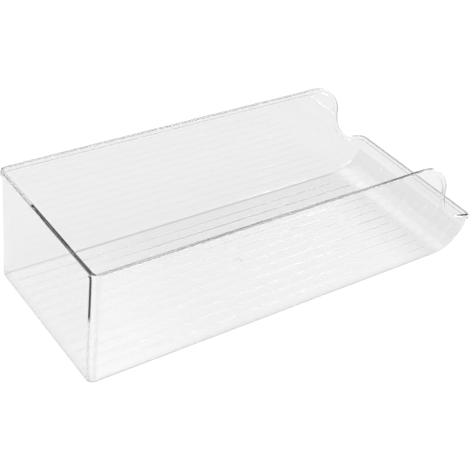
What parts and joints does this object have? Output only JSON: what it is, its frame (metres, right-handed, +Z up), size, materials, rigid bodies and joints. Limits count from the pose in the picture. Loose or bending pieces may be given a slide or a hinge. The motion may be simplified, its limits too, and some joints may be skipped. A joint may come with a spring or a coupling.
{
  "type": "fridge can organizer",
  "caption": "Clear open-top storage bin for drink cans, closed on three sides, with side walls that curve down to a low front lip over a scooped, ribbed floor.",
  "frame": {"origin": "middle of the base, on the surface that the bin stands on", "axes": "+Z up, +Y towards the closed end wall, -Y towards the open front with the low lip, +X across the width"},
  "size_m": [0.143, 0.368, 0.0985],
  "materials": {
    "clear_plastic": "clear and glossy, moulded"
  },
  "bodies": {
    "root": {"bin": "clear_plastic"}
  },
  "joints": []
}
